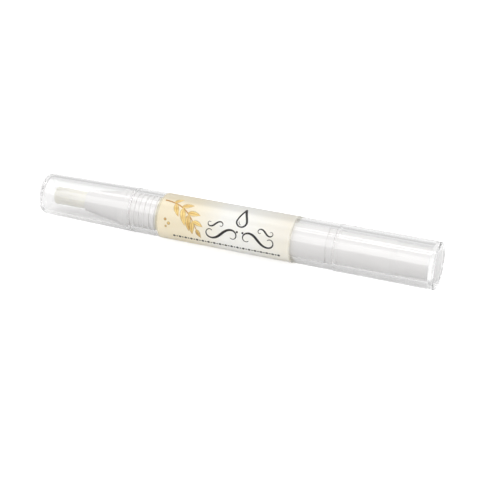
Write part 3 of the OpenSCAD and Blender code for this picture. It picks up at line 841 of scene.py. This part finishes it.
def draw_print(wrap, ink):
    """A leafy branch at the front, then an oil drop over two pairs of scrolls, with beads below."""
    steps = 24
    stem = bent((-21.4, 5.0), (-13.4, 4.6), (-9.6, -2.6), steps)
    rows = ribbon(stem, [0.5 - 0.26 * i / steps for i in range(steps + 1)])
    lay(wrap, "print_stem", rows, ink, "leaf", [
        (i / steps, 0.0, 0.5) for i in range(steps + 1) for _ in range(3)])
    # Each leaf: its step on the stem, its side, its length and its width. Each lies over the one before.
    leaves = [
        (5, 1, 3.2, 1.9), (6, -1, 4.6, 2.5), (10, 1, 4.0, 2.3), (11, -1, 5.6, 2.9), (15, 1, 4.2, 2.5),
        (16, -1, 5.2, 2.9), (20, 1, 3.6, 2.2), (20, -1, 4.2, 2.5), (24, 0, 3.2, 2.1),
    ]
    for number, (stop, side, length, width) in enumerate(leaves):
        foot = Vector(stem[stop])
        along = (Vector(stem[min(stop + 1, steps)]) - Vector(stem[stop - 1])).normalized()
        turn = Matrix.Rotation(side * math.radians(54 - stop), 2)
        tip = foot + turn @ along * length
        draw_leaf(wrap, f"print_leaf_{number + 1}", tuple(foot), tuple(tip), width, side * 0.4,
                  ink * (1.2 + 0.1 * number), 0.11 * (number % 3))
    for number, (x, s, r) in enumerate([(-19.9, -1.2, 0.6), (-18.7, -2.3, 0.7), (-19.6, -3.4, 0.5)]):
        draw_disc(wrap, f"print_berry_{number + 1}", x, s, r, ink * 2.4, "leaf", 0.3)
    middle = 4.4
    draw_drop(wrap, middle, ink)
    # Each scroll: how far its centre is off the middle, its height, its size and its broadest stroke.
    scrolls = (("scroll", 5.9, -2.6, 5.1, 0.8), ("curl", 8.0, 0.2, 2.5, 0.55))
    for side in (-1, 1):
        hand = "left" if side < 0 else "right"
        for name, x, s, size, broad in scrolls:
            points = [(middle + side * (x + a), s + b) for a, b in double_spiral(size)]
            last = len(points) - 1
            widths = [broad * (0.3 + 0.7 * math.sin(math.pi * i / last) ** 2) for i in range(last + 1)]
            lay(wrap, f"print_{name}_{hand}", ribbon(points, widths), ink, "ink")
        draw_disc(wrap, f"print_spot_{hand}", middle + side * 0.9, -1.1, 0.34, ink, "ink", 0.0)
    beads, first_bead, pitch, row_height, large, small = 37, -17.0, 0.94, -6.5, 0.42, 0.27
    for k in range(beads):
        r = small if k % 2 else large
        draw_disc(wrap, f"print_bead_{k + 1}", first_bead + pitch * k, row_height, r, ink, "ink", 0.0)


def double_spiral(size):
    """Points of a long S that curls in at both ends: its bend grows evenly from the middle."""
    steps, reach = 60, 1.75
    half, x, y = [(0.0, 0.0)], 0.0, 0.0
    for i in range(steps):
        way = reach * (i + 0.5) / steps
        heading = math.pi / 2 * way * way - math.pi / 4
        x += size * reach / steps * math.cos(heading)
        y += size * reach / steps * math.sin(heading)
        half.append((x, y))
    return [(-a, -b) for a, b in reversed(half[1:])] + half


def draw_disc(wrap, name, x, s, r, lift, finish, depth):
    """A round printed spot."""
    sides, rings, least = 20, 4, 0.002
    rows, places = [], []
    for i in range(rings + 1):
        reach = max(r * i / rings, least)
        rows.append([(x + reach * math.cos(TURN * k / sides), s + reach * math.sin(TURN * k / sides))
                     for k in range(sides + 1)])
        places += [(i / rings, i / rings, depth)] * (sides + 1)
    lay(wrap, name, rows, lift, finish, places)


def draw_drop(wrap, middle, ink):
    """The outline of an oil drop, thicker on one side, with a short gleam inside."""
    centre_s, round_r, top, steps = 2.2, 1.6, 7.0, 64
    points = []
    for i in range(steps + 1):
        angle = -math.pi / 2 + TURN * i / steps
        x, s = round_r * math.cos(angle), round_r * math.sin(angle)
        if s > 0:
            rise = s / round_r
            x *= (1 - rise ** 1.5) ** 0.9 if rise < 1 else 0
            s = (top - centre_s) * rise ** 1.25
        points.append((middle + x, centre_s + s))
    widths = [0.42 + 0.34 * abs(math.sin(math.pi * i / steps)) * (1 if i < steps / 2 else 0.4)
              for i in range(steps + 1)]
    lay(wrap, "print_drop", ribbon(points, widths), ink, "ink")
    steps = 14
    gleam = bent((3.5, 2.5), (3.5, 1.3), (middle, 1.2), steps)
    widths = [0.06 + 0.16 * math.sin(math.pi * i / steps) for i in range(steps + 1)]
    lay(wrap, "print_drop_gleam", ribbon(gleam, widths), ink, "ink")


class OILPEN_OT_contents(bpy.types.Operator):
    """Make the oil and finish the piston and its ring"""
    bl_idname = "oilpen.contents"
    bl_label = "Oil and piston"

    def execute(self, context):
        first, last, oil_r = span("oil_charge")
        oil = turned("oil_fill", [
            (first, 0), (first, oil_r, 0.1), (last, oil_r, 0.1), (last, 0)], materials["oil"], sides=96)
        place(oil, "barrel", "oil", "oil_charge")
        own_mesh(oil)
        finish_nodes({"piston": "white", "piston_ring": "ring"})
        return {"FINISHED"}


class OILPEN_OT_mechanism(bpy.types.Operator):
    """Finish the screw, the nut, the click ring, the spring and the bearing"""
    bl_idname = "oilpen.mechanism"
    bl_label = "Click mechanism"

    def execute(self, context):
        finish_nodes({
            "drive_screw": "screw", "screw_nut": "white", "click_ring": "screw", "click_spring": "spring",
            "friction_ring": "ring"})
        first, last, outer = span("bearing_collar")
        cup_r, cup_end, journal_r = 4.75, 30.225, 3.65
        groove_start, groove_end, groove_depth = 30.725, 31.225, 0.25
        collar = turned("white_bearing", [
            (first, cup_r), (first, outer), (groove_start, outer, 0.06), (groove_start, outer - groove_depth),
            (groove_end, outer - groove_depth), (groove_end, outer, 0.06), (last, outer, 0.08),
            (last, journal_r), (cup_end, journal_r), (cup_end, cup_r),
        ], materials["white"])
        place(collar, "barrel", "white_plastic", "bearing_collar")
        return {"FINISHED"}


class OILPEN_OT_core(bpy.types.Operator):
    """Finish the knob's white core, and round off the step behind its flange"""
    bl_idname = "oilpen.core"
    bl_label = "Knob core"

    def execute(self, context):
        finish_nodes({"drive_sleeve": "white", "sleeve_plug": "white"})
        inner_r, flange_r, outer_r, length = 4.6, 5.16, 4.71, 1.6
        plug_to_flange = 11.5
        step_x = span("sleeve_plug")[1] - plug_to_flange
        fillet = turned("core_fillet", [
            (step_x, inner_r), (step_x, flange_r), (step_x + length, outer_r), (step_x + length, inner_r),
        ], materials["white"])
        place(fillet, "knob", "white_plastic")
        return {"FINISHED"}


class OILPEN_OT_stage(bpy.types.Operator):
    """Make the floor, the light and the camera"""
    bl_idname = "oilpen.stage"
    bl_label = "Stage"

    def execute(self, context):
        settings = context.scene.pen_stage
        scene = context.scene
        make_floor()
        make_light(scene, settings)
        make_camera(scene, settings)
        scene.view_settings.view_transform = "Standard"
        # Light runs far inside the clear walls before it comes out again.
        scene.cycles.max_bounces = 64
        scene.cycles.glossy_bounces = 64
        scene.cycles.transmission_bounces = 64
        scene.cycles.transparent_max_bounces = 24
        scene.cycles.diffuse_bounces = 8
        return {"FINISHED"}


def make_floor():
    """A wide pale floor, on which the pen lies and leaves its shadow."""
    reach, level = 1500.0, cad_box[0][2] / MM
    floor = mesh_object("floor", [
        (-reach, -reach, level), (reach, -reach, level), (reach, reach, level), (-reach, reach, level),
    ], [(0, 1, 2, 3)], floor_material())


def floor_material():
    """White board that is seen as pure white, with the shadow kept, and as grey through clear walls."""
    material, tree, shader = start_material("white board")
    set_sockets(shader, {"Base Color": (0.64, 0.64, 0.64, 1), "Roughness": 0.9, "Specular IOR Level": 0.0,
                         "Emission Color": (1, 1, 1, 1)})
    path, passed_on = ray_kinds(tree)
    # Painted light: seen through clear walls the board glows weakly, so it is grey under the pen as a painted
    # shadow, a little lighter beside it and darker far off.
    off = maths(tree, "ABSOLUTE", position(tree, "Y"))
    near = ranged(tree, off, (7 * MM, 20 * MM), (0.235, 0.33), smooth=True)
    far = ranged(tree, off, (26 * MM, 50 * MM), (1.0, 0.3), smooth=True)
    painted_glow_through_walls = maths(tree, "MULTIPLY", passed_on, maths(tree, "MULTIPLY", near, far))
    glow = maths(tree, "MULTIPLY_ADD", path["Is Camera Ray"], 0.7, painted_glow_through_walls)
    tree.links.new(glow, shader.inputs["Emission Strength"])
    return material


def make_light(scene, settings):
    """An even sky, a long soft lamp above the pen, one on the camera's side and a weaker one behind."""
    world = bpy.data.worlds.new("soft sky")
    scene.world = world
    world.use_nodes = True
    tree = world.node_tree
    back = tree.nodes["Background"]
    back.inputs["Color"].default_value = (1, 1, 1, 1)
    path, passed_on = ray_kinds(tree)
    # Greys of the room from the horizon up. The dark ones draw the thin lines along clear edges.
    greys = ((0.0, 0.7), (0.08, 0.6), (0.2, 0.6), (0.3, 0.8), (0.5, 0.74), (0.75, 0.86), (1.0, 1.0))
    room = ramp(tree, position(tree, "Z", "Generated"), [(stop, (grey, grey, grey)) for stop, grey in greys])
    shown = add(tree, "Mix", {"data_type": "FLOAT"}, {0: passed_on, 2: settings.sky, 3: room})
    strength = add(tree, "Mix", {"data_type": "FLOAT"}, {
        0: path["Is Camera Ray"], 2: shown.outputs[0], 3: 1.0})
    tree.links.new(strength.outputs[0], back.inputs["Strength"])
    # Each lamp: its name, width, depth, place and power. Gloss and clear walls don't show the back lamp.
    for name, width, depth, spot, power in (
            ("overhead", 0.9, 0.1, (0.0, 0.0, 0.6), settings.overhead),
            ("front", 0.9, 0.5, (0.0, -0.54, 0.46), settings.front),
            ("back", 0.9, 0.5, (0.0, 0.54, 0.46), settings.back)):
        lamp = bpy.data.lights.new(name, "AREA")
        lamp.shape, lamp.size, lamp.size_y = "RECTANGLE", width, depth
        lamp.energy = power
        holder = bpy.data.objects.new(name, lamp)
        holder.location = spot
        holder.rotation_euler = (-holder.location).to_track_quat("-Z", "Y").to_euler()
        holder.visible_glossy = holder.visible_transmission = name != "back"
        scene.collection.objects.link(holder)


def make_camera(scene, settings):
    """The photograph's view."""
    a, e = settings.azimuth, settings.elevation
    outward = Vector((math.sin(a) * math.cos(e), -math.cos(a) * math.cos(e), math.sin(e)))
    right = Vector((math.cos(a), math.sin(a), 0))
    up = outward.cross(right)
    focal = settings.lens / SENSOR * PIXELS
    step = settings.distance / focal
    target = Vector(settings.aim) - right * settings.aim_across * step - up * settings.aim_up * step
    lens = bpy.data.cameras.new("view")
    lens.lens, lens.sensor_width = settings.lens, SENSOR
    lens.clip_start, lens.clip_end = 0.01, 20.0
    camera = bpy.data.objects.new("view", lens)
    camera.matrix_world = Matrix.Translation(target + outward * settings.distance) @ Matrix(
        (right, up, outward)).transposed().to_4x4()
    scene.collection.objects.link(camera)
    scene.camera = camera


STEPS = (
    OILPEN_OT_finishes, OILPEN_OT_cap, OILPEN_OT_barrel, OILPEN_OT_knob, OILPEN_OT_nozzle, OILPEN_OT_brush,
    OILPEN_OT_label, OILPEN_OT_contents, OILPEN_OT_mechanism, OILPEN_OT_core, OILPEN_OT_stage,
)


class OILPEN_PT_panel(bpy.types.Panel):
    """Lists the pen's settings and steps"""
    bl_idname = "OILPEN_PT_panel"
    bl_label = "Nail Oil Pen"
    bl_space_type = "VIEW_3D"
    bl_region_type = "UI"
    bl_category = "Oil Pen"

    def draw(self, context):
        for title, settings in (("Sizes", context.scene.pen_sizes), ("Colours", context.scene.pen_colours),
                                ("Stage", context.scene.pen_stage)):
            box = self.layout.box()
            box.label(text=title)
            for name in settings.__annotations__:
                box.prop(settings, name)
        for step in STEPS:
            self.layout.operator(step.bl_idname)


SETTINGS = {"pen_sizes": PenSizes, "pen_colours": PenColours, "pen_stage": StageSettings}


def register():
    """Registers the settings, the operators and the panel."""
    for kind in (*SETTINGS.values(), *STEPS, OILPEN_PT_panel):
        bpy.utils.register_class(kind)
    for name, kind in SETTINGS.items():
        setattr(bpy.types.Scene, name, PointerProperty(type=kind))


def unregister():
    """Takes them out again."""
    for name in SETTINGS:
        delattr(bpy.types.Scene, name)
    for kind in (OILPEN_PT_panel, *reversed(STEPS), *SETTINGS.values()):
        bpy.utils.unregister_class(kind)


def main():
    """Makes the pen and its stage."""
    register()
    for step in STEPS:
        category, name = step.bl_idname.split(".")
        getattr(getattr(bpy.ops, category), name)()


if __name__ == "__main__":
    main()
